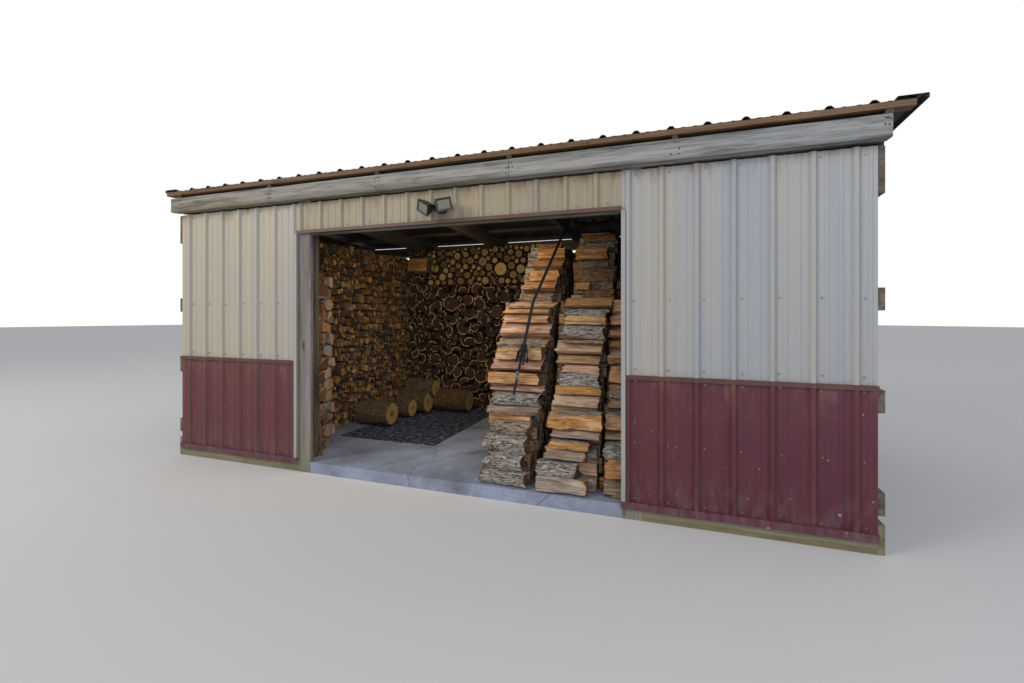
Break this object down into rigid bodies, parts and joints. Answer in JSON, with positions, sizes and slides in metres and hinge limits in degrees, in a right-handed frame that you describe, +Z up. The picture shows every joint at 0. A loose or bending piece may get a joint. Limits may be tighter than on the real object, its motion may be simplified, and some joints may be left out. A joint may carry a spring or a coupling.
{
  "type": "open-framed log store",
  "caption": "Single-pitch timber-framed log store with a ribbed metal front, a wide open doorway, open boarded sides and stacked firewood inside.",
  "frame": {"origin": "middle of the floor slab's underside, at the lowest ground point under the store", "axes": "+X along the front wall to the right as seen from outside, +Y into the store towards the back, +Z up"},
  "size_m": [6.3416, 3.3417, 2.7459],
  "materials": {
    "concrete": "trowelled concrete",
    "treated_timber": "rough sawn, greenish",
    "frame_timber": "rough sawn",
    "weathered_timber": "weathered grey",
    "brown_timber": "rough sawn, brown",
    "roof_metal": "dull",
    "tan_metal": "satin",
    "burgundy_metal": "satin",
    "lamp_housing": "satin",
    "firewood": "split and barked",
    "mat_rubber": "matt",
    "strap_webbing": "woven webbing"
  },
  "bodies": {
    "root": {"back_beam": "weathered_timber", "back_firewood": "firewood", "back_girts": "frame_timber", "back_plate": "frame_timber", "back_posts": "frame_timber", "back_purlin": "brown_timber", "back_skirt_board": "treated_timber", "base_trims": "burgundy_metal", "corner_posts": "frame_timber", "firewood_row_a": "firewood", "firewood_row_b": "firewood", "firewood_row_c": "firewood", "firewood_row_d": "firewood", "firewood_row_e": "firewood", "floodlight_heads": "lamp_housing", "floodlight_mount": "lamp_housing", "floor_mat": "mat_rubber", "floor_slab": "concrete", "front_beam": "weathered_timber", "front_girts": "frame_timber", "front_purlin": "brown_timber", "front_skirt_boards": "treated_timber", "hanging_strap": "strap_webbing", "header_board": "frame_timber", "header_trim": "tan_metal", "jamb_posts": "frame_timber", "jamb_trims": "tan_metal", "leaning_stick": "brown_timber", "left_firewood": "firewood", "left_firewood_pillar": "firewood", "left_jamb_board": "weathered_timber", "left_rake_trim": "roof_metal", "left_side_girts": "frame_timber", "left_side_plate": "frame_timber", "loose_logs": "firewood", "rafters": "frame_timber", "right_jamb_board": "weathered_timber", "right_rake_trim": "roof_metal", "right_side_girts": "frame_timber", "right_side_plate": "frame_timber", "roof_purlins": "frame_timber", "roof_sheets": "roof_metal", "side_skirt_boards": "treated_timber", "siding_left": "tan_metal", "siding_over_door": "tan_metal", "siding_right": "tan_metal", "wainscot_left": "burgundy_metal", "wainscot_right": "burgundy_metal", "wainscot_trims": "burgundy_metal"}
  },
  "joints": []
}
